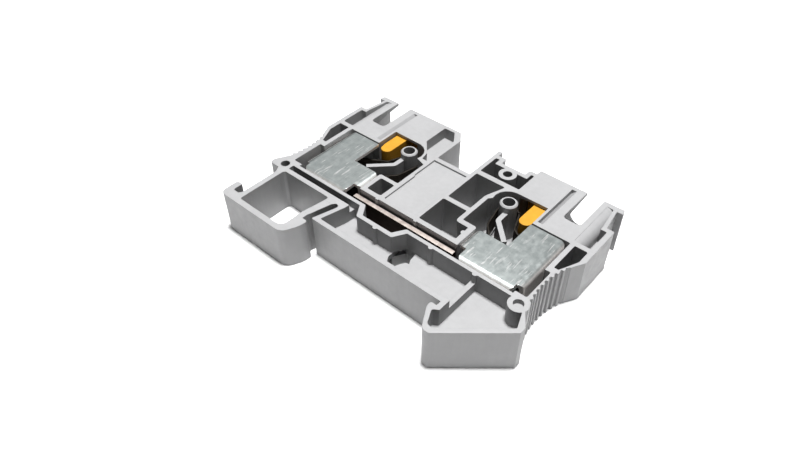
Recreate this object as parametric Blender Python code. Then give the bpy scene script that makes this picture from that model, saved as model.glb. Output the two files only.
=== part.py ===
"""Push-in feed-through terminal block for a 35 mm top-hat rail, lying on its closed side.

Every size below is in millimetres and MM turns it into Blender's metres.
X runs along the block, Y from the rail (y = 0 is the face that rests on the rail) to the wire
entries, and Z from the closed side (z = 0) to the open side. `side` is +1 on the end with the
fixed rail hook and -1 on the end with the springy rail latch.
"""
import math

import bmesh
import bpy

MM = 0.001
NAME = "din_rail_terminal_block"

# ---- housing: overall and wall sizes
WIDTH = 10.2            # thickness of the block along the rail
FLOOR = 1.0             # wall on the closed side
ROOF = 0.7              # skin over the release button shafts
WALL = 1.1              # rail seat wall
THIN_WALL = 0.85        # wall under the current bar and beside the clamp bays
END_WALL = 1.15         # outer wall at both ends
WEB_TOP = 5.8           # top of the middle web in the rail foot
WEB = 1.3               # thickness of every middle web
GAP = 0.3               # clearance between separate pieces
CUT = 1.0               # how far a cutter runs past the face it opens
ARC_STEP = math.radians(24)

# ---- rail interface
RAIL = 35.0             # width of the rail's two flanges
RAIL_FLANGE = 1.0       # thickness of the rail's flange
RAIL_PLAY = 0.4         # free play across the rail
HOOK_X = 20.05          # end wall of the fixed hook's recess
HOOK_REACH = 1.3        # how far hook and latch reach under the flange
FLANGE_ROOM = 0.15      # clearance over the flange's thickness
FOOT_DROP = 6.95        # depth of both feet below the rail seat
LATCH_X = HOOK_X - RAIL - RAIL_PLAY
LATCH_TRAVEL = 1.5

# ---- heights, from the rail seat up
FOOT_POCKET = 8.3       # clear height of the pocket over the rail seat wall
BAR_WALL_Y = WALL + FOOT_POCKET
BAY_Y = BAR_WALL_Y + THIN_WALL
CAGE_SEAT = 0.4         # gap under the cages
CAGE_HEIGHT = 17.35
CAGE_Y = BAY_Y + CAGE_SEAT
CAGE_TOP = CAGE_Y + CAGE_HEIGHT
LAND_Y = CAGE_TOP + 0.25
LAND = 5.55             # skin between the clamp bay and the wire entry slot
ENTRY_Y = LAND_Y + LAND
ROOF_Y = ENTRY_Y + 0.4
TOWER = 9.7             # tower height over its lower edge
TOP = ROOF_Y + TOWER

# ---- clamp cage: folded strip steel
CAGE_IN = 13.45         # outside of the fold nearest the middle
CAGE_NOTCH_X = 20.95    # the cage is L-shaped: its upper arm starts here
CAGE_NOTCH_Y = CAGE_Y + 9.2
CAGE_OUT = 29.35        # outside of the outer fold
CAGE_T = 0.8
CAGE_Z0 = FLOOR + GAP
CAGE_Z1 = WIDTH - 0.2
CAGE_BEND = 1.2         # outside radius of the folds
BAR_GATE = 1.85         # open corner where the current bar enters
BAR_GATE_Y = 3.25
END_GATE = 1.45         # open corner at the outer end

# ---- current bar
BAR_T = 1.05
BAR_Y = CAGE_Y + CAGE_T + GAP
BAR_Z0 = CAGE_Z0 + CAGE_T + GAP
BAR_Z1 = CAGE_Z1 - CAGE_T - GAP
BAR_END_X = CAGE_OUT - CAGE_T - GAP
BAR_ROOM = 0.55         # room above the bar in its channel
CHANNEL_Y = BAR_Y + BAR_T + BAR_ROOM

# ---- clamping spring and its boss
BOSS_X = 13.8
BOSS_Y = LAND_Y + 2.35
BOSS_R = 1.95
BOSS_HOLE = 1.35
BOSS_CHAMFER = 0.3
SPRING_T = 0.35
SPRING_R = BOSS_R + GAP + SPRING_T / 2 + 0.03
SPRING_Z0 = BAR_Z0
SPRING_Z1 = WIDTH - 3.2
ARM_T = 1.1             # moulded arm between the spring's two legs
ARM_TOP = WIDTH - 1.7
LEG_FALL = math.radians(68)     # slope of the clamping leg where it leaves the loop
LEG_DROP = 4.4          # length of that steep stretch
LEG_SLOPE = math.radians(30)    # slope of the stretch that pinches the wire
CONTACT_X = BAR_END_X - BAR_T   # face that the wire is pinched against
CONTACT_TOP = BOSS_Y - 6.6      # top of that face, above the clamping leg's tip
SPRING_SPLIT = math.radians(34) # where the moving leg starts on the loop
SPLIT_GAP = math.radians(8)

# ---- release buttons
NOSE_ROOM = 1.545       # from the spring's loop to the nose
NOSE_X0 = BOSS_X + SPRING_R + NOSE_ROOM
NOSE_X1 = CAGE_NOTCH_X - GAP
NOSE_Y = BOSS_Y - 3.05
SHAFT_X0 = 14.3
SHAFT_X1 = 21.1
SHOULDER_Y = BOSS_Y + 6.85
BUTTON_SINK = 0.6       # the push face sits this far inside the tower
BUTTON_Z0 = FLOOR + GAP
BUTTON_Z1 = WIDTH - ROOF - GAP
DRIVER_SLOT = (3.4, 1.2, 1.2)

# ---- ends, wire entries and finger grips
BAY_OUT = CAGE_OUT + 0.55
POCKET_X = BAY_OUT + THIN_WALL
END_POCKET = 3.05
END_X = POCKET_X + END_POCKET + END_WALL
ENTRY_X0 = 24.75        # slot that opens the wire entry to the open side
ENTRY_X1 = 28.8
MOUTH_X = 26.85
MOUTH_HALF = 4.9
CHANNEL_X = 26.3
CHANNEL_HALF = 3.2
FUNNEL_SKIN = 0.85
BARREL_X = END_X - 2.65     # the funnel's outer skin, which shows in the end pocket as a barrel
BARREL_R = 2.3
SLIT = 3.5              # depth of the slit between that barrel and the outer wall
NOTCH = 7.2             # end notch for snap-on markers, measured down from the top
NOTCH_LIP = 1.4
GRIP_PITCH = 1.4
GRIP_DEPTH = 0.4
RING_R = 2.1            # bosses with a cored hole
RING_HOLE = 1.05

# ---- middle
PANEL_X0 = -7.1
PANEL_X1 = 1.95
PANEL_SINK = 0.45
VALLEY_Y = LAND_Y + 4.5
MID_WALL = 1.0
BAY_IN = {1: 9.8, -1: 7.95}     # inner wall of each clamp bay
GREY = (0.60, 0.60, 0.61, 1.0)
ORANGE = (0.95, 0.42, 0.06, 1.0)
STEEL = (0.66, 0.69, 0.68, 1.0)
SPRING_STEEL = (0.45, 0.44, 0.42, 1.0)
COPPER = (0.80, 0.66, 0.58, 1.0)

for old in list(bpy.data.objects):
    bpy.data.objects.remove(old, do_unlink=True)
parts = bpy.data.collections.new(NAME)
cutters = bpy.data.collections.new("cutters")
for collection in (parts, cutters):
    bpy.context.scene.collection.children.link(collection)

# The origin is the middle of the footprint when the block lies on its closed side.
frame = bpy.data.objects.new("block_frame", None)
frame.location = (0, -(TOP - FOOT_DROP) / 2 * MM, 0)
parts.objects.link(frame)


def material(name, color, roughness, metallic):
    mat = bpy.data.materials.new(name)
    mat.use_nodes = True
    shader = mat.node_tree.nodes["Principled BSDF"]
    shader.inputs["Base Color"].default_value = color
    shader.inputs["Roughness"].default_value = roughness
    shader.inputs["Metallic"].default_value = metallic
    return mat


def rounded(points):
    """Closed outline in which a point given as (x, y, r) becomes an arc of radius r."""
    out = []
    for i, point in enumerate(points):
        x, y = point[:2]
        r = point[2] if len(point) > 2 else 0
        ax, ay = points[i - 1][0] - x, points[i - 1][1] - y
        bx, by = points[(i + 1) % len(points)][0] - x, points[(i + 1) % len(points)][1] - y
        la, lb = math.hypot(ax, ay), math.hypot(bx, by)
        turn = math.acos(max(-1, min(1, (ax * bx + ay * by) / (la * lb))))
        if r == 0 or turn > math.pi - 0.05:
            out.append((x, y))
            continue
        r = min(r, 0.48 * min(la, lb) * math.tan(turn / 2))
        back = r / math.tan(turn / 2)
        start = (x + ax / la * back, y + ay / la * back)
        middle = (ax / la + bx / lb, ay / la + by / lb)
        reach = r / math.sin(turn / 2) / math.hypot(*middle)
        cx, cy = x + middle[0] * reach, y + middle[1] * reach
        a0 = math.atan2(start[1] - cy, start[0] - cx)
        sweep = math.pi - turn
        if ax * by - ay * bx > 0:
            sweep = -sweep
        steps = max(1, math.ceil(abs(sweep) / ARC_STEP))
        out += [(cx + r * math.cos(a0 + sweep * k / steps), cy + r * math.sin(a0 + sweep * k / steps))
                for k in range(steps + 1)]
    return out


def mirrored(points, side):
    return [(side * p[0], *p[1:]) for p in points]


def circle(x, y, r, steps=20):
    return [(x + r * math.cos(2 * math.pi * k / steps), y + r * math.sin(2 * math.pi * k / steps))
            for k in range(steps)]


def box(x0, x1, y0, y1):
    return [(x0, y0), (x1, y0), (x1, y1), (x0, y1)]


def add(name, mesh, origin, collection):
    """Object whose origin sits at `origin`, parented to the block's frame."""
    obj = bpy.data.objects.new(name, mesh)
    obj.location = [c * MM for c in origin]
    obj.parent = frame
    collection.objects.link(obj)
    if collection is cutters:
        obj.hide_render = True
        obj.display_type = "WIRE"
    return obj


def plate(name, loops, z0, z1, collection=cutters, origin=(0, 0)):
    """Flat outlines, the first one outside and the others holes, extruded from z0 to z1."""
    curve = bpy.data.curves.new(name, "CURVE")
    curve.dimensions = "2D"
    curve.fill_mode = "BOTH"
    curve.extrude = (z1 - z0) / 2 * MM
    for loop in loops:
        spline = curve.splines.new("POLY")
        spline.points.add(len(loop) - 1)
        for point, (x, y) in zip(spline.points, loop):
            point.co = ((x - origin[0]) * MM, (y - origin[1]) * MM, 0, 1)
        spline.use_cyclic_u = True
    temp = bpy.data.objects.new(name + "_curve", curve)
    bpy.context.scene.collection.objects.link(temp)
    graph = bpy.context.evaluated_depsgraph_get()
    mesh = bpy.data.meshes.new_from_object(temp.evaluated_get(graph))
    bpy.data.objects.remove(temp, do_unlink=True)
    bm = bmesh.new()
    bm.from_mesh(mesh)
    bmesh.ops.remove_doubles(bm, verts=bm.verts, dist=0.0001 * MM)
    for sign in (1, -1):
        cap = [f for f in bm.faces if all(v.co.z * sign > 0 for v in f.verts)]
        bmesh.ops.dissolve_faces(bm, faces=cap)
    bmesh.ops.recalc_face_normals(bm, faces=bm.faces)
    bm.to_mesh(mesh)
    bm.free()
    return add(name, mesh, (*origin, (z0 + z1) / 2), collection)


def loft(name, sections, collection=cutters):
    """Closed solid through sections that have the same number of points."""
    bm = bmesh.new()
    rings = [[bm.verts.new([c * MM for c in p]) for p in section] for section in sections]
    for low, high in zip(rings, rings[1:]):
        for k in range(len(low)):
            bm.faces.new((low[k - 1], low[k], high[k], high[k - 1]))
    bm.faces.new(rings[0])
    bm.faces.new(rings[-1])
    bmesh.ops.recalc_face_normals(bm, faces=bm.faces)
    mesh = bpy.data.meshes.new(name)
    bm.to_mesh(mesh)
    bm.free()
    return add(name, mesh, (0, 0, 0), collection)


def combine(target, tool, operation):
    mod = target.modifiers.new(tool.name, "BOOLEAN")
    mod.object = tool
    mod.operation = operation
    mod.solver = "EXACT"
    return mod


def cut(target, name, loops, z0, z1):
    combine(target, plate(name, loops, z0, z1), "DIFFERENCE")


def join(target, name, loops, z0, z1):
    combine(target, plate(name, loops, z0, z1), "UNION")


def bend_edges(obj, radius, picked):
    """Rounds the edges whose two ends `picked` accepts, as a press brake's fold does."""
    bm = bmesh.new()
    bm.from_mesh(obj.data)
    edges = [e for e in bm.edges if all(picked(*[c / MM for c in v.co]) for v in e.verts)]
    bmesh.ops.bevel(bm, geom=edges, offset=radius * MM, offset_type="OFFSET", segments=4,
                    profile=0.5, affect="EDGES", clamp_overlap=True)
    bm.to_mesh(obj.data)
    bm.free()


def strip(points, thickness):
    """Outline of a strip of even thickness along a centre line."""
    left, right = [], []
    for i, (x, y) in enumerate(points):
        before, after = points[max(i - 1, 0)], points[min(i + 1, len(points) - 1)]
        ux, uy = x - before[0], y - before[1]
        vx, vy = after[0] - x, after[1] - y
        if i == 0:
            ux, uy = vx, vy
        if i == len(points) - 1:
            vx, vy = ux, uy
        lu, lv = math.hypot(ux, uy), math.hypot(vx, vy)
        nx, ny = -(uy / lu + vy / lv) / 2, (ux / lu + vx / lv) / 2
        scale = thickness / 2 / (nx * nx + ny * ny)
        left.append((x + nx * scale, y + ny * scale))
        right.append((x - nx * scale, y - ny * scale))
    return left + right[::-1]


def soften(path, radius):
    """Open centre line with its inner corners rounded."""
    closed = [(*path[0], 0)] + [(*p, radius) for p in path[1:-1]] + [(*path[-1], 0)]
    return rounded(closed)


def arc(cx, cy, r, a0, a1):
    steps = max(2, math.ceil(abs(a1 - a0) / ARC_STEP))
    return [(cx + r * math.cos(a0 + (a1 - a0) * k / steps), cy + r * math.sin(a0 + (a1 - a0) * k / steps))
            for k in range(steps + 1)]


def finish(obj, mat):
    obj.data.materials.clear()
    obj.data.materials.append(mat)
    obj.data.shade_smooth()
    obj.data.set_sharp_from_angle(angle=math.radians(35))


grey = material("grey_polyamide", GREY, 0.5, 0)
orange = material("orange_polyamide", ORANGE, 0.45, 0)
steel = material("tinned_steel", STEEL, 0.3, 1)
spring_steel = material("spring_steel", SPRING_STEEL, 0.25, 1)
copper = material("tinned_copper", COPPER, 0.3, 1)

# ---- rail latch: a frame that hangs from the housing on two thin uprights
FRAME_X0 = -END_X + 3.7         # outside of the outer upright
FRAME_T = 1.3
FRAME_TOP_Y = 8.0               # top of the frame's fixed top wall
FRAME_TOP_T = 1.15
STRUT_T = 1.5                   # inner upright at the rail, it widens towards the top
SLANT = math.tan(math.radians(14))
SLOT_T = 1.45                   # slot between the inner upright and the housing's own leg
LEG_T = 1.2
SLOT_TOP_Y = FRAME_TOP_Y - FRAME_TOP_T - 0.35
OUTER_FLEX = (5.2, -2.6)        # ends of the outer upright's flexing stretch
INNER_FLEX = (5.7, 0.6)


def strut_left(y):
    return LATCH_X - STRUT_T + SLANT * 0.62 * max(y, 0)


def strut_right(y):
    return LATCH_X + SLANT * max(y, 0)


def leg_left(y):
    return strut_right(y) + SLOT_T


window_top = FRAME_TOP_Y - FRAME_TOP_T
EAR_Y = window_top + 0.15       # underside of the ear above the latch lug
frame_in = FRAME_X0 + FRAME_T
slot_r = SLOT_T / 2 * math.cos(math.atan(SLANT))
slot_cx = strut_right(SLOT_TOP_Y) + SLOT_T / 2
slot_end = arc(slot_cx, SLOT_TOP_Y - slot_r, slot_r, math.radians(165), math.radians(-14))


def grip(side, y0, y1, sag, teeth):
    """Concave finger grip with ribs across it, from y0 up to y1."""
    half = (y1 - y0) / 2
    r = (half * half + sag * sag) / (2 * sag)
    cx, cy = END_X - sag + r, (y0 + y1) / 2
    span = GRIP_PITCH / r
    points = [(END_X, y0)]
    for k in range(teeth):
        a = math.pi - (k - (teeth - 1) / 2) * span
        for shift, depth in ((-0.5, 0), (-0.2, 0), (-0.1, GRIP_DEPTH), (0.2, GRIP_DEPTH)):
            t = a - shift * span
            points.append((cx + (r + depth) * math.cos(t), cy - (r + depth) * math.sin(t)))
    points.append((END_X, y1))
    ordered = sorted(points[1:-1], key=lambda p: p[1])
    return mirrored([points[0]] + ordered + [points[-1]], side)


def end_arm(side):
    """Outline from the grip's top over the marker notch and hook to the wire entry."""
    return mirrored([
        (END_X, TOP - NOTCH, 0.4), (POCKET_X + 2.45, TOP - NOTCH), (POCKET_X + 1.6, TOP - NOTCH_LIP),
        (POCKET_X + 3.05, TOP - NOTCH_LIP, 0.1), (POCKET_X + 2.75, TOP, 0.4)], side)


diagonal_x = HOOK_X + 2.85
outline = [(HOOK_X, 0, 0.1), (HOOK_X, -RAIL_FLANGE - FLANGE_ROOM),
           (HOOK_X - HOOK_REACH, -RAIL_FLANGE - FLANGE_ROOM, 0.45), (HOOK_X - HOOK_REACH, -2.3, 1.5),
           (HOOK_X + 1.25, -FOOT_DROP, 1.3), (diagonal_x, -FOOT_DROP, 1.0), (END_X, 3.45, 0.3)]
outline += grip(1, 4.9, LAND_Y - 2.85, 3.05, 11)
outline += end_arm(1)
# middle of the right tower: two sprung arches that carry a marker seat with a cored ring
SEAT_X0, SEAT_X1 = 3.95, 12.35
TOWER_X0 = 13.15
ARCH_T = 1.1
SEAT_Y = TOP - 4.45
ARCH_Y = TOP - 1.5
outline += [(TOWER_X0, TOP, 0.1), (TOWER_X0, ARCH_Y, 0.16), (SEAT_X1 - ARCH_T, ARCH_Y, 0.5),
            (SEAT_X1 - ARCH_T, SEAT_Y + ARCH_T, 0.3), (SEAT_X0 + ARCH_T, SEAT_Y + ARCH_T, 0.3),
            (SEAT_X0 + ARCH_T, ARCH_Y, 0.4), (PANEL_X1 + MID_WALL, ARCH_Y), (PANEL_X1 + MID_WALL, TOP, 0.1),
            (PANEL_X1, TOP, 0.2), (PANEL_X1, VALLEY_Y, 0.3), (PANEL_X0, VALLEY_Y, 0.3),
            (PANEL_X0, TOP - 2.7, 0.8), (PANEL_X0 - 1.9, TOP, 0.6)]
outline += end_arm(-1)[::-1]
outline += grip(-1, 8.4, LAND_Y - 3.0, 2.15, 8)[::-1]
outline += [(-END_X, EAR_Y, 0.6), (FRAME_X0 - 0.85, EAR_Y - 0.1, 0.1), (FRAME_X0, OUTER_FLEX[0] + 0.3),
            (FRAME_X0, OUTER_FLEX[0]), (frame_in, OUTER_FLEX[0]), (frame_in, window_top, 0.9),
            (strut_left(window_top) - 0.1, window_top, 0.8), (strut_left(INNER_FLEX[0]), INNER_FLEX[0]),
            (strut_right(INNER_FLEX[0]), INNER_FLEX[0])]
outline += slot_end
outline += [(leg_left(0.6), 0.6, 0.3), (leg_left(0), 0, 0.4)]

housing = plate("housing", [rounded(outline)], 0, WIDTH, parts)

# ---- clamp bays, bar channel and the trough under it, all one space
BAY_R = 3.5
TROUGH = (-8.3, -6.5, 1.35, 3.05)
TROUGH_Y = BAY_Y - 2.75
STEP_X = CAGE_OUT - 0.65
WIDE_X = BAY_OUT + 1.3
WIDE_Y = 19.0
side_wall = {1: CAGE_IN - 0.05, -1: CAGE_IN - 0.45}


def bay_side(side):
    """Right half of the bay outline: from the trough out, up the end and back to the middle."""
    top = math.acos((ROOF_Y - BOSS_Y) / BAY_R * 0.999) if ROOF_Y - BOSS_Y < BAY_R else 0.12
    curve = arc(BOSS_X, BOSS_Y, BAY_R, math.pi / 2 + top, math.pi * 1.1)
    return mirrored([
        (STEP_X, BAY_Y), (STEP_X, BAY_Y + 0.7), (WIDE_X, BAY_Y + 0.7, 0.3), (WIDE_X, WIDE_Y, 0.3),
        (BAY_OUT, WIDE_Y), (BAY_OUT, LAND_Y, 0.3), (SHAFT_X1, LAND_Y), (SHAFT_X1, ROOF_Y, 0.2)]
        + [(x, y) for x, y in curve] + [
        (BAY_IN[side], BOSS_Y - 1.9, 0.4), (BAY_IN[side], CAGE_NOTCH_Y + 0.1, 0.3),
        (side_wall[side], CAGE_NOTCH_Y + 0.1, 0.6), (side_wall[side], CHANNEL_Y)], side)


bay = [(TROUGH[3], BAY_Y, 0.3)] + bay_side(1) + bay_side(-1)[::-1]
bay += [(TROUGH[0], BAY_Y, 0.3), (TROUGH[1], TROUGH_Y, 0.3), (TROUGH[2], TROUGH_Y, 0.3)]
cut(housing, "bay_cut", [rounded(bay)], FLOOR, WIDTH + CUT)
for rib_x in (TROUGH[0] + 0.4, TROUGH[3] - 0.4):
    join(housing, f"bar_rib_{rib_x:.0f}", [box(rib_x - 0.4, rib_x + 0.4, CHANNEL_Y - BAR_ROOM + GAP,
                                               CHANNEL_Y + 0.3)], FLOOR - 0.3, WIDTH)

# ---- rail foot: pockets on both faces of a middle web
leg_in = LEG_T + SLOT_T
slope = MID_WALL * math.hypot(TROUGH[2] - TROUGH[3], BAY_Y - TROUGH_Y) / (BAY_Y - TROUGH_Y)
foot_left = [
    (strut_right(window_top) + leg_in + 0.2, BAR_WALL_Y), (TROUGH[0] - slope + 0.3, BAR_WALL_Y, 0.3),
    (TROUGH[1] - slope + 0.3, TROUGH_Y - MID_WALL, 0.4), (TROUGH[2] + slope - 0.3, TROUGH_Y - MID_WALL, 0.4),
    (TROUGH[3] + slope - 0.3, BAR_WALL_Y, 0.3), (HOOK_X, BAR_WALL_Y, 0.2), (HOOK_X, WALL, 0.2),
    (strut_right(WALL) + leg_in, WALL, 0.3), (strut_right(window_top) + leg_in, window_top)]
RIB_X1 = HOOK_X + WALL
ring_x, ring_y = END_X - 4.05, BAR_WALL_Y - 0.65
foot_right = [
    (RIB_X1, BAR_WALL_Y, 0.2), (ring_x - 1.7, BAR_WALL_Y), (ring_x + 0.3, ring_y + 0.2), (ring_x + 1.7, ring_y - 1.5),
    (END_X - 1.1, 3.95, 0.3), (END_X - 1.45, 3.55, 0.2), (diagonal_x + 0.3, -FOOT_DROP + 1.35, 0.6),
    (HOOK_X + 1.4, -FOOT_DROP + 1.4, 0.9), (HOOK_X - 0.1, -2.4, 0.5), (RIB_X1, -1.7, 0.2)]
tower_pocket = [
    (PANEL_X0 - 6.0, TOP - 1.0, 0.3), (PANEL_X0 - 3.1, TOP - 1.0, 0.5), (PANEL_X0 - 1.1, TOP - 3.9, 0.6),
    (PANEL_X0 - 1.1, BOSS_Y - 0.4, 0.3), (PANEL_X0 - 2.5, BOSS_Y - 0.4, 0.3), (PANEL_X0 - 3.0, BOSS_Y + 1.9, 0.8),
    (PANEL_X0 - 6.0, BOSS_Y + 5.4, 0.6)]
for label, loop, web_top in (("foot_left", foot_left, WEB_TOP), ("foot_right", foot_right, WEB_TOP),
                             ("tower_pocket", tower_pocket, WIDTH - 2.8)):
    cut(housing, label + "_front", [rounded(loop)], web_top, WIDTH + CUT)
    cut(housing, label + "_back", [rounded(loop)], -CUT, web_top - WEB)
cut(housing, "rib_top", [box(HOOK_X - 0.1, RIB_X1 + 0.1, WALL + 0.1, BAR_WALL_Y)], WIDTH - 2.1, WIDTH + CUT)
cut(housing, "web_hole", [rounded([(2.4, BAR_WALL_Y + 0.05), (2.4, 5.4, 0.8), (3.1, 4.15, 0.5), (5.15, 4.15, 0.2),
                                   (5.6, 5.3, 0.8), (6.2, 6.3, 0.4), (7.0, 6.45, 0.1), (6.4, 7.6, 0.8),
                                   (6.2, BAR_WALL_Y + 0.05)])], WEB_TOP - WEB - 0.05, WEB_TOP + 0.05)
# through slot over the latch frame, closed at its inner end by a low tab
tab_x = strut_right(window_top) + leg_in
cut(housing, "latch_slot", [rounded([(frame_in + 0.1, FRAME_TOP_Y, 0.3), (tab_x - 1.4, FRAME_TOP_Y, 0.3),
                                     (tab_x - 1.4, BAR_WALL_Y, 0.2), (frame_in + 0.1, BAR_WALL_Y, 0.3)])],
    -CUT, WIDTH + CUT)
cut(housing, "tab_top", [box(tab_x - 1.5, tab_x + 0.7, FRAME_TOP_Y, BAR_WALL_Y)], WIDTH - 2.0, WIDTH + CUT)
for label, x, y in (("a", -2.2, TROUGH_Y - MID_WALL), ("b", 9.95, BAR_WALL_Y), ("c", HOOK_X + 0.6, BAR_WALL_Y)):
    join(housing, "nub_" + label, [circle(x, y + 0.15, 0.6, 12)], WEB_TOP - 0.3, WIDTH)

# ---- closed pockets in the middle and at the ends
PB_TOP = CAGE_NOTCH_Y + 2.75
MID_Y0 = CHANNEL_Y + 1.15
in_right = BAY_IN[1] - MID_WALL
pocket_a = [(PANEL_X1 + MID_WALL, PB_TOP + 1.2, 0.2), (in_right, PB_TOP + 1.2, 0.3), (in_right, BOSS_Y - 1.6, 1),
            (in_right + 1.7, ENTRY_Y + 0.15, 0.3), (PANEL_X1 + MID_WALL, ENTRY_Y + 0.15, 0.2)]
pocket_b = [(PANEL_X1 + 0.7, MID_Y0, 0.3), (side_wall[1] - 1.3, MID_Y0, 0.3),
            (side_wall[1] - 1.3, CAGE_NOTCH_Y - 1.1, 0.3), (in_right, CAGE_NOTCH_Y - 1.1, 0.8),
            (in_right, PB_TOP, 0.3), (PANEL_X1 + 0.7, PB_TOP, 0.3)]
pocket_u = [(PANEL_X1 + MID_WALL, ROOF_Y + 1.1, 0.3), (TOWER_X0 - 0.05, ROOF_Y + 1.1, 0.3),
            (TOWER_X0 - 0.05, ARCH_Y - 1.1, 0.3), (SEAT_X1, ARCH_Y - 1.1, 0.3), (SEAT_X1, SEAT_Y, 0.2),
            (SEAT_X0, SEAT_Y, 0.2), (SEAT_X0, ARCH_Y - 1.1, 0.3), (PANEL_X1 + MID_WALL, ARCH_Y - 1.1, 0.3)]
pocket_s = [(-side_wall[-1] + 1.1, MID_Y0, 0.4), (-BAY_IN[-1] - 0.05, MID_Y0, 0.4),
            (-BAY_IN[-1] - 0.05, CAGE_NOTCH_Y - 0.9, 0.4), (-side_wall[-1] + 1.1, CAGE_NOTCH_Y - 0.9, 0.4)]
for label, loop in (("a", pocket_a), ("b", pocket_b), ("u", pocket_u), ("s", pocket_s)):
    cut(housing, "pocket_" + label, [rounded(loop)], FLOOR, WIDTH + CUT)
join(housing, "marker_ring", [circle(8.25, SEAT_Y - 1.3, 2.05)], FLOOR - 0.3, WIDTH)
join(housing, "pocket_nub", [circle(side_wall[1] - 1.2, 17.0, 0.6, 12)], FLOOR - 0.3, WIDTH)
cut(housing, "panel_sink", [[(PANEL_X0 + 0.25, MID_Y0), (PANEL_X1 - 0.05, MID_Y0), (PANEL_X1 - 0.05, VALLEY_Y - 1.15),
                             (PANEL_X0 - 0.05, VALLEY_Y - 1.15), (PANEL_X0 - 0.05, 24.8), (PANEL_X0 + 0.25, 24.4)]],
    WIDTH - PANEL_SINK, WIDTH + CUT)
cut(housing, "panel_back", [rounded([(PANEL_X0 + 1.1, MID_Y0 + 1.1, 0.5), (PANEL_X1 - MID_WALL, MID_Y0 + 1.1, 0.5),
                                     (PANEL_X1 - MID_WALL, VALLEY_Y - 1.2, 0.5),
                                     (PANEL_X0 + 1.1, VALLEY_Y - 1.2, 0.5)])], -CUT, WIDTH - PANEL_SINK - WEB)


def entry_section(y, cx, half, low, high, r):
    points = rounded([(cx - half, low, r), (cx + half, low, r), (cx + half, high, r), (cx - half, high, r)])
    return [(x, y, z) for x, z in points]


MID_Z = WIDTH / 2
for side in (1, -1):
    tag = "right" if side == 1 else "left"
    low_pocket = [(POCKET_X + 0.2, LAND_Y - 0.1, 0.2), (POCKET_X + END_POCKET, LAND_Y - 0.1, 0.3),
                  (POCKET_X + END_POCKET, LAND_Y - 3.45, 0.5), (POCKET_X + 1.15, WIDE_Y + 1.5, 0.3),
                  (POCKET_X + 0.2, WIDE_Y + 1.5, 0.2)]
    skin_x = BARREL_X - BARREL_R + 0.1
    high_pocket = [(skin_x, LAND_Y + 1.1, 0.4), (POCKET_X + END_POCKET, LAND_Y + 1.1, 0.5),
                   (POCKET_X + END_POCKET, TOP - NOTCH - 1.05, 0.3), (skin_x, TOP - NOTCH - 1.05)]
    arm_slot = [(skin_x, TOP - NOTCH - 1.2), (POCKET_X + 1.65, TOP - NOTCH - 1.2),
                (POCKET_X + 1.6, TOP - NOTCH), (POCKET_X + 0.8, TOP - NOTCH_LIP, 0.1), (skin_x, TOP - 1.15)]
    cut(housing, f"low_pocket_{tag}", [mirrored(rounded(low_pocket), side)], FLOOR, WIDTH + CUT)
    cut(housing, f"high_pocket_{tag}", [mirrored(rounded(high_pocket), side)], WIDTH - SLIT, WIDTH + CUT)
    cut(housing, f"arm_slot_{tag}", [mirrored(rounded(arm_slot), side)], WIDTH - 3.5, WIDTH + CUT)
    barrel = [mirrored(entry_section(y, MOUTH_X, BARREL_X - MOUTH_X, 0.1, WIDTH - 0.04, BARREL_R), side)
              for y in (LAND_Y + 0.6, TOP - 0.9)]
    combine(housing, loft(f"barrel_{tag}", barrel), "UNION")
    groove = [[(side * x, y, z) for x, z in ((SHAFT_X1 + 0.6, WIDTH - 1.1), (SHAFT_X1 + 1.75, WIDTH),
                                             (SHAFT_X1 + 1.75, WIDTH + CUT), (SHAFT_X1 + 0.6, WIDTH + CUT))]
              for y in (LAND_Y + 1.05, TOP - 1.1)]
    combine(housing, loft(f"tower_groove_{tag}", groove), "DIFFERENCE")
    # wire entry: straight channel below, funnel above
    z_low, z_high = MID_Z - CHANNEL_HALF, MID_Z + CHANNEL_HALF
    entry = [entry_section(LAND_Y - 0.2, CHANNEL_X, CHANNEL_HALF, z_low, z_high, 3.0),
             entry_section(ENTRY_Y - 0.8, CHANNEL_X, CHANNEL_HALF, z_low, z_high, 3.0),
             entry_section(TOP + 0.02, MOUTH_X, MOUTH_HALF, FUNNEL_SKIN, WIDTH - 0.75, 2.4)]
    combine(housing, loft(f"entry_{tag}", [mirrored(s, side) for s in entry]), "DIFFERENCE")
    slot = [(ENTRY_X0, ENTRY_Y, 0.9), (ENTRY_X1, ENTRY_Y, 0.9), (ENTRY_X1, TOP + CUT), (ENTRY_X0, TOP + CUT)]
    cut(housing, f"entry_slot_{tag}", [mirrored(rounded(slot), side)], MID_Z, WIDTH + CUT)
    shaft = box(SHAFT_X0, SHAFT_X1, ROOF_Y - 0.4, TOP + CUT)
    cut(housing, f"shaft_{tag}", [mirrored(shaft, side)], FLOOR, WIDTH - ROOF)
    # boss that carries the spring's loop, and the arm between its legs
    arm = soften([(BOSS_X + 0.5, BOSS_Y - 1.2), (BOSS_X + 0.6, BOSS_Y - 4.5), (BOSS_X + 5.2, BOSS_Y - 9.0)], 1.0)
    arm_path = [arm[0]] + arm[1:-1] + [arm[-1]]
    join(housing, f"boss_arm_{tag}", [mirrored(strip(arm_path, ARM_T), side)], FLOOR - 0.3, ARM_TOP)
    boss = [[(x, y, z) for x, y in circle(side * BOSS_X, BOSS_Y, r, 24)]
            for r, z in ((BOSS_R, FLOOR - 0.3), (BOSS_R, WIDTH - BOSS_CHAMFER), (BOSS_R - BOSS_CHAMFER, WIDTH))]
    combine(housing, loft(f"boss_{tag}", boss), "UNION")
    cut(housing, f"boss_hole_{tag}", [circle(side * BOSS_X, BOSS_Y, BOSS_HOLE)], FLOOR, WIDTH + CUT)

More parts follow.
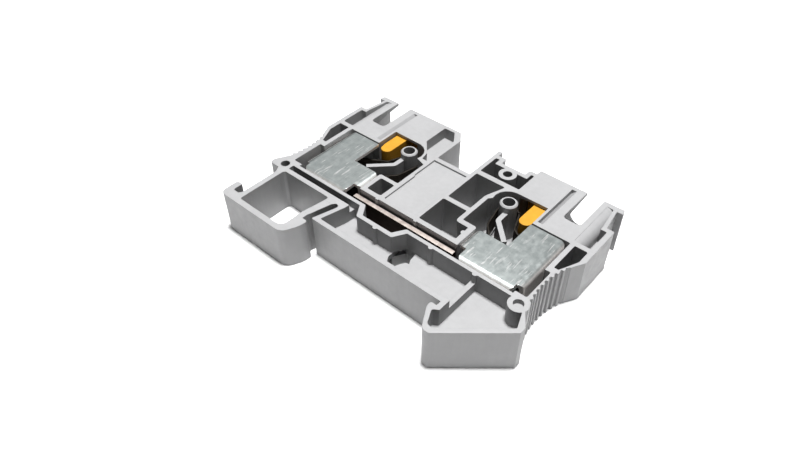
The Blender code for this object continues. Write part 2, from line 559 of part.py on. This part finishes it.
join(housing, "ring_right", [circle(ring_x, ring_y, RING_R)], WEB_TOP - 0.3, WIDTH)
for label, x, y, low in (("right", ring_x, ring_y, WIDTH - 1.1), ("left", -END_X + 3.15, ring_y, FLOOR),
                         ("marker", 8.25, SEAT_Y - 1.3, FLOOR)):
    cut(housing, f"cored_hole_{label}", [circle(x, y, RING_HOLE, 16)], low, WIDTH + CUT)
finish(housing, grey)

# ---- rail latch foot: lug for a screwdriver, lower frame wall and nose
foot_low = -FOOT_DROP
inner_low = foot_low + 1.35
nose_x = LATCH_X + HOOK_REACH + RAIL_PLAY / 2
latch = [(frame_in, OUTER_FLEX[1] - GAP), (FRAME_X0, OUTER_FLEX[1] - GAP), (FRAME_X0, foot_low + 3.0),
         (FRAME_X0 - 0.55, foot_low + 2.3, 0.2), (FRAME_X0 - 1.95, foot_low + 2.3, 0.3),
         (FRAME_X0 - 2.15, foot_low + 2.7), (FRAME_X0 - 2.15, foot_low + 4.75, 0.2), (-END_X, foot_low + 4.75, 0.8),
         (-END_X, foot_low, 1.3), (nose_x - 1.9, foot_low, 2.2), (nose_x - 0.2, foot_low + 3.6, 3.0),
         (nose_x, -RAIL_FLANGE - FLANGE_ROOM, 0.5), (LATCH_X, -RAIL_FLANGE - FLANGE_ROOM, 0.1),
         (LATCH_X, INNER_FLEX[1] - GAP), (LATCH_X - STRUT_T, INNER_FLEX[1] - GAP),
         (LATCH_X - STRUT_T, inner_low, 1.6), (frame_in, inner_low, 0.5)]
latch_foot = plate("rail_latch_foot", [rounded(latch)], 0, WIDTH, parts,
                   origin=(LATCH_X, -RAIL_FLANGE))
finish(latch_foot, grey)
outer_flex = plate("latch_flexure_outer", [box(FRAME_X0, frame_in, OUTER_FLEX[1], OUTER_FLEX[0] - GAP)],
                   0, WIDTH, parts)
finish(outer_flex, grey)
y_top, y_low = INNER_FLEX[0] - GAP, INNER_FLEX[1]
inner_flex = plate("latch_flexure_inner", [[(strut_left(y_low), y_low), (strut_right(y_low), y_low),
                                            (strut_right(y_top), y_top), (strut_left(y_top), y_top)]],
                   0, WIDTH, parts)
finish(inner_flex, grey)

# ---- current bar: one strip, narrower inside the cages, with both ends turned up behind the wires
bar = [(-BAR_END_X, CONTACT_TOP, 0.3), (-BAR_END_X, BAR_Y, 1.6), (BAR_END_X, BAR_Y, 1.6),
       (BAR_END_X, CONTACT_TOP, 0.3), (BAR_END_X - BAR_T, CONTACT_TOP, 0.3),
       (BAR_END_X - BAR_T, BAR_Y + BAR_T, 0.55), (-BAR_END_X + BAR_T, BAR_Y + BAR_T, 0.55),
       (-BAR_END_X + BAR_T, CONTACT_TOP, 0.3)]
current_bar = plate("current_bar", [rounded(bar)], BAR_Z0, BAR_Z1, parts)
for side in (1, -1):
    narrow = box(CAGE_IN + 0.05, BAR_END_X + CUT, BAR_Y - CUT, CONTACT_TOP + CUT)
    cut(current_bar, f"bar_narrow_{side}", [mirrored(narrow, side)], SPRING_Z1, WIDTH + CUT)
finish(current_bar, copper)

for side in (1, -1):
    tag = "right" if side == 1 else "left"
    # ---- clamp cage: a folded box, open at the wire entry, the notch and two lower corners
    gate_x, gate_y = CAGE_IN + BAR_GATE, CAGE_Y + BAR_GATE_Y
    cage_loop = [(gate_x, CAGE_Y), (CAGE_OUT - END_GATE, CAGE_Y), (CAGE_OUT - END_GATE, CAGE_Y + 1.95),
                 (CAGE_OUT, CAGE_Y + 1.95), (CAGE_OUT, CAGE_TOP), (CAGE_NOTCH_X, CAGE_TOP),
                 (CAGE_NOTCH_X, CAGE_NOTCH_Y), (CAGE_IN, CAGE_NOTCH_Y), (CAGE_IN, gate_y), (gate_x, gate_y)]
    cage = plate(f"clamp_cage_{tag}", [mirrored(cage_loop, side)], CAGE_Z0, CAGE_Z1, parts)
    bend_edges(cage, CAGE_BEND, lambda x, y, z: abs(abs(z) - (CAGE_Z1 - CAGE_Z0) / 2) < 0.01 and (
        abs(abs(x) - CAGE_OUT) < 0.01 or abs(y - CAGE_Y) < 0.01 or abs(abs(x) - CAGE_IN) < 0.01))
    hollow = plate(f"cage_hollow_{tag}", [mirrored(box(CAGE_IN + CAGE_T, CAGE_OUT - CAGE_T, CAGE_Y + CAGE_T,
                                                       CAGE_TOP + CUT), side)], CAGE_Z0 + CAGE_T, CAGE_Z1 - CAGE_T)
    bend_edges(hollow, CAGE_BEND - CAGE_T, lambda x, y, z: abs(abs(x) - CAGE_OUT + CAGE_T) < 0.01
               or abs(y - CAGE_Y - CAGE_T) < 0.01 or abs(abs(x) - CAGE_IN - CAGE_T) < 0.01)
    combine(cage, hollow, "DIFFERENCE")
    finish(cage, steel)
    # ---- spring: loop round the boss and a fixed leg that stands on the current bar
    start = SPRING_SPLIT + SPLIT_GAP
    fixed_slope = math.radians(13)
    loop = arc(BOSS_X, BOSS_Y, SPRING_R, start, math.pi + fixed_slope)
    foot_x = CAGE_IN + 3.45
    fixed = loop + [(BOSS_X - 1.3, BOSS_Y - 5.2), (BOSS_X - 1.0, BOSS_Y - 5.75), (foot_x - 0.35, CAGE_NOTCH_Y + 0.7),
                    (foot_x, CAGE_NOTCH_Y - 0.1), (foot_x, BAR_Y + BAR_T + GAP)]
    spring = plate(f"clamp_spring_{tag}", [mirrored(strip(fixed, SPRING_T), side)], SPRING_Z0, SPRING_Z1, parts)
    finish(spring, spring_steel)
    # ---- clamping leg, which swings about the loop when a wire or the button pushes it
    off = math.pi / 2 - LEG_FALL
    root = arc(BOSS_X, BOSS_Y, SPRING_R, SPRING_SPLIT, off)
    knee = (root[-1][0] + LEG_DROP * math.cos(LEG_FALL), root[-1][1] - LEG_DROP * math.sin(LEG_FALL))
    reach = (CONTACT_X - GAP - SPRING_T / 2 - knee[0]) / math.cos(LEG_SLOPE)
    tip = (knee[0] + reach * math.cos(LEG_SLOPE), knee[1] - reach * math.sin(LEG_SLOPE))
    leg_path = root + soften([root[-1], knee, tip], 0.8)[1:]
    leg = plate(f"clamp_spring_leg_{tag}", [mirrored(strip(leg_path, SPRING_T), side)], SPRING_Z0, SPRING_Z1,
                parts, origin=(side * BOSS_X, BOSS_Y))
    finish(leg, spring_steel)
    # ---- release button: wide stem in the tower, narrow nose over the clamping leg
    button_top = TOP - BUTTON_SINK
    stem_x0, stem_x1 = SHAFT_X0 + GAP, SHAFT_X1 - GAP
    nose_r = (NOSE_X1 - NOSE_X0) / 2
    profile = [(stem_x0, button_top, 0.2), (stem_x0, SHOULDER_Y, 0.3), (NOSE_X0, SHOULDER_Y, 0.3)]
    profile += arc(NOSE_X0 + nose_r, NOSE_Y + nose_r, nose_r, math.pi, 2 * math.pi)
    profile += [(NOSE_X1, LAND_Y + 1.0), (stem_x1, LAND_Y + 1.6), (stem_x1, button_top, 0.2)]
    button = plate(f"release_button_{tag}", [mirrored(rounded(profile), side)], BUTTON_Z0, BUTTON_Z1, parts,
                   origin=(side * (stem_x0 + stem_x1) / 2, button_top))
    slot_x = (stem_x0 + stem_x1) / 2
    driver = box(slot_x - DRIVER_SLOT[0] / 2, slot_x + DRIVER_SLOT[0] / 2, button_top - DRIVER_SLOT[1],
                 button_top + CUT)
    button_z = (BUTTON_Z0 + BUTTON_Z1) / 2
    cut(button, f"driver_slot_{tag}", [mirrored(driver, side)], button_z - DRIVER_SLOT[2] / 2,
        button_z + DRIVER_SLOT[2] / 2)
    finish(button, orange)
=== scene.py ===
"""Looks of the terminal block: materials, the latch's sliced uprights, light and camera."""
import math

import bmesh
import bpy
from mathutils import Matrix, Vector


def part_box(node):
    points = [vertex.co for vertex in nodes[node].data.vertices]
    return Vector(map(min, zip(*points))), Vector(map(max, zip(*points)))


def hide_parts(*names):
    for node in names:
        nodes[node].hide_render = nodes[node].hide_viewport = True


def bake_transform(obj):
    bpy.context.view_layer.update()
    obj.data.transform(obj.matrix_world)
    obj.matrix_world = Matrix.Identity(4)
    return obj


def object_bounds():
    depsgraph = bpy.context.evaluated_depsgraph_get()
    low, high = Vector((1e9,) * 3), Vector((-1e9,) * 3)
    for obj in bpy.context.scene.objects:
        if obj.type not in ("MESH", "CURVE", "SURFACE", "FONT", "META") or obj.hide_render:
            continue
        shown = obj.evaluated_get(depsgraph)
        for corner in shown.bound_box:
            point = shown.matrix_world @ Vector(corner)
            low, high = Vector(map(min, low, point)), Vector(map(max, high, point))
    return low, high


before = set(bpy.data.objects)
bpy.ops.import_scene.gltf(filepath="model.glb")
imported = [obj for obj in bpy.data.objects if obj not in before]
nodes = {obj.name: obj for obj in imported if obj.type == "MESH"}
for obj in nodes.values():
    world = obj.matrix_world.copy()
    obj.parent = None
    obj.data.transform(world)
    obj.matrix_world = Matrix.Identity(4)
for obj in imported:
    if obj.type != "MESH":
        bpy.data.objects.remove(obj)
cad_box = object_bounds()

MM = 0.001

# camera: place in millimetres, turn in degrees, sensor and lens in millimetres
EYE = (66.615, -81.061, 101.380)
YAW = -41.891
PITCH = 42.946
ROLL = -0.7105
SENSOR = 36
LENS = 29.79

# noise scales, per metre
MOULD_CLOUD = 160
MOULD_FLOW = 900
MOULD_SHEEN = 700
MOULD_GRAIN = 5200
TIN_CLOUD = 700
TIN_ROLLING = 2400
SCRATCH_PATCH = 330
# directions of scratches: turn about Z in radians, noise scale, level above which there is a scratch
SCRATCHES = ((0.5, 1500, 0.66), (-0.9, 1900, 0.67), (1.35, 1200, 0.67))

# shading of the CAD meshes
JOIN = 0.001 * MM               # points nearer than this are one point
CORNER = math.radians(25)       # edges sharper than this stay sharp
FLAT_WEIGHT = 100               # how strongly large faces pull the normals

# latch uprights
JOINT_GAP = 0.3 * MM            # room above and below each CAD stand-in
SLICES = 24

# floor, sky and lights
FLOOR_HALF = 1.5
FLOOR_DROP = 0.1 * MM           # how far the floor lies under the block
FLOOR_TONE = (0.75, 0.75, 0.75, 1)
BAND = 0.30                     # brightness near the horizon
SKY = 0.03                      # brightness overhead
BAND_TOP = 0.10                 # height of direction where the band starts to fade
SKY_START = 0.60                # and where it has faded


# ---------------------------------------------------------------- camera
def place_camera():
    """Looks down on the block's open side from beyond its fixed hook."""
    yaw, pitch, roll = math.radians(YAW), math.radians(PITCH), math.radians(ROLL)
    forward = Vector((math.sin(yaw) * math.cos(pitch), math.cos(yaw) * math.cos(pitch), -math.sin(pitch)))
    level = Vector((math.cos(yaw), -math.sin(yaw), 0))
    upright_axis = level.cross(forward)
    right = math.cos(roll) * level + math.sin(roll) * upright_axis
    up = -math.sin(roll) * level + math.cos(roll) * upright_axis
    data = bpy.data.cameras.new("camera")
    data.sensor_width = SENSOR
    data.lens = LENS
    data.clip_start = 0.005
    data.clip_end = 10
    camera = bpy.data.objects.new("camera", data)
    turn = Matrix((right, up, -forward)).transposed().to_4x4()
    camera.matrix_world = Matrix.Translation(Vector(EYE) * MM) @ turn
    bpy.context.scene.collection.objects.link(camera)
    bpy.context.scene.camera = camera


place_camera()


# ---------------------------------------------------------------- materials
def opaque(colour):
    return (*colour, 1)


class Nodes:
    """Small builder for one material's node tree."""

    def __init__(self, name):
        self.mat = bpy.data.materials.new(name)
        self.mat.use_nodes = True
        self.tree = self.mat.node_tree
        self.shader = self.tree.nodes["Principled BSDF"]
        place = self.tree.nodes.new("ShaderNodeTexCoord")
        self.coords = place.outputs["Object"]
        self.normal = place.outputs["Normal"]

    def feed(self, socket, value):
        """Links the socket to `value` if that is a socket, or else sets it."""
        if isinstance(value, bpy.types.NodeSocket):
            self.tree.links.new(value, socket)
        else:
            socket.default_value = value

    def put(self, kind, values=None, **settings):
        node = self.tree.nodes.new(kind)
        for key, value in settings.items():
            setattr(node, key, value)
        for key, value in (values or {}).items():
            self.feed(node.inputs[key], value)
        return node

    def stretch(self, x, y, z, turn=0):
        """Coordinates scaled along each axis after a turn about Z."""
        values = {"Vector": self.coords, "Scale": (x, y, z), "Rotation": (0, 0, turn)}
        return self.put("ShaderNodeMapping", values).outputs[0]

    def noise(self, scale, vector=None, detail=3, rough=0.5):
        values = {"Vector": vector or self.coords, "Scale": scale, "Detail": detail, "Roughness": rough}
        return self.put("ShaderNodeTexNoise", values).outputs["Fac"]

    def ramp(self, value, low, high, out_low=0.0, out_high=1.0):
        """Takes low..high to out_low..out_high, and holds it there outside."""
        values = {"Value": value, "From Min": low, "From Max": high, "To Min": out_low, "To Max": out_high}
        return self.put("ShaderNodeMapRange", values).outputs[0]

    def mix(self, factor, a, b):
        """Colour that goes from `a` to `b` with the factor."""
        return self.put("ShaderNodeMix", {0: factor, 6: a, 7: b}, data_type="RGBA").outputs[2]

    def calc(self, operation, a, b=0.0):
        return self.put("ShaderNodeMath", {0: a, 1: b}, operation=operation).outputs[0]

    def height_of(self, vector):
        return self.put("ShaderNodeSeparateXYZ", {"Vector": vector}).outputs[2]

    def edge_normal(self, radius):
        """Normal that rounds the rims over a radius in millimetres."""
        return self.put("ShaderNodeBevel", {"Radius": radius * MM}, samples=6).outputs[0]

    def bump(self, height, strength, distance, normal):
        values = {"Height": height, "Strength": strength, "Distance": distance * MM, "Normal": normal}
        return self.put("ShaderNodeBump", values).outputs[0]

    def link(self, **sockets):
        """Feeds the shader's sockets and gives the finished material."""
        for key, value in sockets.items():
            self.feed(self.shader.inputs[key.replace("_", " ")], value)
        return self.mat


def polyamide(name, base, dark, light, rough, specular):
    """Moulded plastic: clouded tone, faint flow marks, eroded grain and slightly soft rims."""
    n = Nodes(name)
    cloud = n.noise(MOULD_CLOUD, detail=4)
    grain = n.noise(MOULD_GRAIN, detail=2)
    flow = n.noise(MOULD_FLOW, n.stretch(1, 1, 0.12))
    tone = n.mix(n.ramp(cloud, 0.3, 0.7), opaque(dark), opaque(base))
    tone = n.mix(n.ramp(flow, 0.35, 0.75, 0, 0.35), tone, opaque(light))
    normal = n.edge_normal(0.14)
    normal = n.bump(grain, 0.32, 0.02, normal)
    normal = n.bump(flow, 0.12, 0.05, normal)
    shine = n.ramp(n.noise(MOULD_SHEEN), 0.3, 0.7, rough - 0.07, rough + 0.08)
    return n.link(Base_Color=tone, Roughness=shine, Normal=normal, Specular_IOR_Level=specular)


def scratches(n):
    """Short scratches in a few directions, gathered in patches."""
    lines = None
    for turn, scale, edge in SCRATCHES:
        line = n.ramp(n.noise(scale, n.stretch(1, 0.12, 0.4, turn), detail=1), edge, edge + 0.03)
        lines = line if lines is None else n.calc("MAXIMUM", lines, line)
    return n.calc("MULTIPLY", lines, n.ramp(n.noise(SCRATCH_PATCH), 0.42, 0.62))


def strip_metal(name, base, dark, light, rough, grain_turn, scratch, painted_flank, low=None):
    """Rolled strip: cloudy tin, rolling grain and scattered scratches.

    The side colour is painted on the bends, on the faces that don't look along the block's thickness,
    which are rougher too, and below `low` millimetres: painted highlight where lighter, painted shade
    where darker.
    """
    n = Nodes(name)
    cloud = n.noise(TIN_CLOUD, detail=6, rough=0.65)
    rolled = n.noise(TIN_ROLLING, n.stretch(1, 0.05, 0.6, grain_turn), detail=2)
    lines = scratches(n)
    facing = n.calc("ABSOLUTE", n.height_of(n.normal))
    tone = n.mix(n.ramp(cloud, 0.32, 0.68), opaque(dark), opaque(base))
    tone = n.mix(n.ramp(rolled, 0.45, 0.7, 0, 0.12), tone, opaque(light))
    tone = n.mix(n.calc("MULTIPLY", lines, scratch), tone, opaque(light))
    if low is not None:
        # painted shade where the side colour is dark: it covers everything lower than `low` millimetres
        tone = n.mix(n.ramp(n.height_of(n.coords), low * MM, (low + 1) * MM), opaque(painted_flank), tone)
    # side colour on the faces that don't look along Z: painted highlight where lighter than the strip,
    # painted shade where darker
    painted_flank_tone = n.mix(cloud, opaque(painted_flank), opaque(0.8 * c for c in painted_flank))
    tone = n.mix(n.ramp(facing, 0.5, 0.97), painted_flank_tone, tone)
    shine = n.ramp(cloud, 0.3, 0.7, rough - 0.03, rough + 0.04)
    shine = n.calc("ADD", shine, n.ramp(facing, 0.6, 0.99, 0.3, 0))
    normal = n.edge_normal(0.1)
    normal = n.bump(rolled, 0.2, 0.01, normal)
    normal = n.bump(lines, -0.25, 0.015, normal)
    return n.link(Base_Color=tone, Roughness=shine, Normal=normal, Metallic=1.0)


grey = polyamide("grey_polyamide", base=(0.25, 0.25, 0.253), dark=(0.23, 0.23, 0.233),
                 light=(0.28, 0.28, 0.283), rough=0.5, specular=0.45)
orange = polyamide("orange_polyamide", base=(0.42, 0.21, 0.018), dark=(0.36, 0.17, 0.014),
                   light=(0.47, 0.25, 0.028), rough=0.45, specular=0.22)
# the cage's pale side colour is a painted highlight on its bends and sides
cage_metal = strip_metal("tinned_cage", base=(0.61, 0.655, 0.645), dark=(0.50, 0.55, 0.545),
                         light=(0.98, 0.99, 0.98), rough=0.31, grain_turn=0, scratch=0.9,
                         painted_flank=(1.0, 0.96, 0.93))
# painted shade: the spring steel is near black, as the springs sit in shaded bays; its slightly lighter
# side colour is a painted highlight
spring_painted_dark = strip_metal("spring_steel", base=(0.045, 0.04, 0.034), dark=(0.03, 0.027, 0.023),
                           light=(0.12, 0.11, 0.10), rough=0.46, grain_turn=0.6, scratch=0.2,
                           painted_flank=(0.06, 0.05, 0.042))
# the bar's near-black side colour, on its sides and below 7.2 mm, is painted shade
bar_metal = strip_metal("tinned_copper", base=(0.92, 0.82, 0.76), dark=(0.70, 0.60, 0.54),
                        light=(1.0, 0.93, 0.88), rough=0.37, grain_turn=1.57, scratch=0.6,
                        painted_flank=(0.045, 0.028, 0.02), low=7.2)

# material of every node whose name starts so
FINISH = {"housing": grey, "rail_latch_foot": grey, "latch_flexure": grey, "current_bar": bar_metal,
          "clamp_cage": cage_metal, "clamp_spring": spring_painted_dark, "release_button": orange}


def dress(obj, mat):
    obj.data.materials.clear()
    obj.data.materials.append(mat)


for name, obj in nodes.items():
    for start, mat in FINISH.items():
        if name.startswith(start):
            dress(obj, mat)


# ---------------------------------------------------------------- smooth shading of the curved faces
def rounding():
    """Nodes that join a CAD mesh's triangles and shade them smooth, except across real corners."""
    tree = bpy.data.node_groups.new("rounding", "GeometryNodeTree")
    for way in ("INPUT", "OUTPUT"):
        tree.interface.new_socket("Geometry", in_out=way, socket_type="NodeSocketGeometry")
    source = tree.nodes.new("NodeGroupInput")
    join = tree.nodes.new("GeometryNodeMergeByDistance")
    join.inputs["Distance"].default_value = JOIN
    plain = tree.nodes.new("GeometryNodeRemoveAttribute")
    plain.inputs["Name"].default_value = "custom_normal"
    faces = tree.nodes.new("GeometryNodeSetShadeSmooth")
    faces.domain = "FACE"
    faces.inputs["Shade Smooth"].default_value = True
    edges = tree.nodes.new("GeometryNodeSetShadeSmooth")
    edges.domain = "EDGE"
    edges.inputs["Shade Smooth"].default_value = False
    result = tree.nodes.new("NodeGroupOutput")
    chain = (source, join, plain, faces, edges, result)
    for a, b in zip(chain, chain[1:]):
        tree.links.new(a.outputs[0], b.inputs[0])
    angle = tree.nodes.new("GeometryNodeInputMeshEdgeAngle")
    corner = tree.nodes.new("FunctionNodeCompare")
    corner.operation = "GREATER_THAN"
    corner.inputs["B"].default_value = CORNER
    tree.links.new(angle.outputs["Unsigned Angle"], corner.inputs["A"])
    tree.links.new(corner.outputs[0], edges.inputs["Selection"])
    return tree


smoother = rounding()
for obj in nodes.values():
    obj.modifiers.new("rounding", "NODES").node_group = smoother
    weights = obj.modifiers.new("flats", "WEIGHTED_NORMAL")
    weights.keep_sharp = True
    weights.weight = FLAT_WEIGHT


# ---------------------------------------------------------------- uprights of the rail latch, cut into slices
def upright(name, node):
    """Strip that fills its CAD node's outline and the joints above and below it, cut into thin slices."""
    low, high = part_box(node)
    middle = (low[1] + high[1]) / 2
    ends = {"low": set(), "high": set()}
    for v in nodes[node].data.vertices:
        ends["low" if v.co.y < middle else "high"].add(round(v.co.x, 6))
    lows, highs = sorted(ends["low"]), sorted(ends["high"])
    slope_left, slope_right = [(highs[k] - lows[k]) / (high[1] - low[1]) for k in (0, -1)]
    y0, y1 = low[1] - JOINT_GAP, high[1] + JOINT_GAP
    bm = bmesh.new()
    rings = []
    for k in range(SLICES + 1):
        y = y0 + (y1 - y0) * k / SLICES
        left = lows[0] + slope_left * (y - low[1])
        right = lows[-1] + slope_right * (y - low[1])
        corners = ((left, y, low[2]), (right, y, low[2]), (right, y, high[2]), (left, y, high[2]))
        rings.append([bm.verts.new(p) for p in corners])
    for a, b in zip(rings, rings[1:]):
        for k in range(4):
            bm.faces.new((a[k - 1], a[k], b[k], b[k - 1]))
    bm.faces.new(rings[0])
    bm.faces.new(rings[-1])
    bmesh.ops.recalc_face_normals(bm, faces=bm.faces)
    mesh = bpy.data.meshes.new(name)
    bm.to_mesh(mesh)
    bm.free()
    obj = bpy.data.objects.new(name, mesh)
    bpy.context.scene.collection.objects.link(obj)
    dress(obj, grey)
    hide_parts(node)
    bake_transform(obj)


upright("latch_upright_outer", "latch_flexure_outer")
upright("latch_upright_inner", "latch_flexure_inner")


# ---------------------------------------------------------------- floor and light
def floor():
    mesh = bpy.data.meshes.new("floor")
    bm = bmesh.new()
    bmesh.ops.create_grid(bm, x_segments=1, y_segments=1, size=FLOOR_HALF)
    bm.to_mesh(mesh)
    bm.free()
    obj = bpy.data.objects.new("floor", mesh)
    obj.location.z = cad_box[0][2] - FLOOR_DROP
    mat = bpy.data.materials.new("floor")
    mat.use_nodes = True
    shader = mat.node_tree.nodes["Principled BSDF"]
    shader.inputs["Base Color"].default_value = FLOOR_TONE
    shader.inputs["Roughness"].default_value = 0.8
    obj.data.materials.append(mat)
    bpy.context.scene.collection.objects.link(obj)


def area(name, place, size, power):
    """Round lamp that looks at the middle of the block."""
    data = bpy.data.lights.new(name, "AREA")
    data.shape = "DISK"
    data.size = size
    data.energy = power
    obj = bpy.data.objects.new(name, data)
    obj.location = place
    obj.rotation_euler = (-Vector(place)).to_track_quat("-Z", "Y").to_euler()
    bpy.context.scene.collection.objects.link(obj)


def studio():
    """Dim sky with a bright band low down, as white walls and a sweep round the table give."""
    world = bpy.data.worlds.new("studio")
    world.use_nodes = True
    tree = world.node_tree
    direction = tree.nodes.new("ShaderNodeTexCoord").outputs["Generated"]
    split = tree.nodes.new("ShaderNodeSeparateXYZ")
    tree.links.new(direction, split.inputs[0])
    ramp = tree.nodes.new("ShaderNodeMapRange")
    ramp.interpolation_type = "SMOOTHSTEP"
    limits = {"From Min": BAND_TOP, "From Max": SKY_START, "To Min": BAND, "To Max": SKY}
    for socket, value in limits.items():
        ramp.inputs[socket].default_value = value
    tree.links.new(split.outputs[2], ramp.inputs["Value"])
    background = tree.nodes["Background"]
    background.inputs["Color"].default_value = (1, 1, 1, 1)
    tree.links.new(ramp.outputs[0], background.inputs["Strength"])
    bpy.context.scene.world = world


floor()
area("overhead", place=(0.02, 0.03, 0.70), size=0.15, power=12.8)
area("back_card", place=(-0.33, 0.37, 0.42), size=0.42, power=0.20)
studio()
bpy.context.scene.view_settings.view_transform = "Standard"
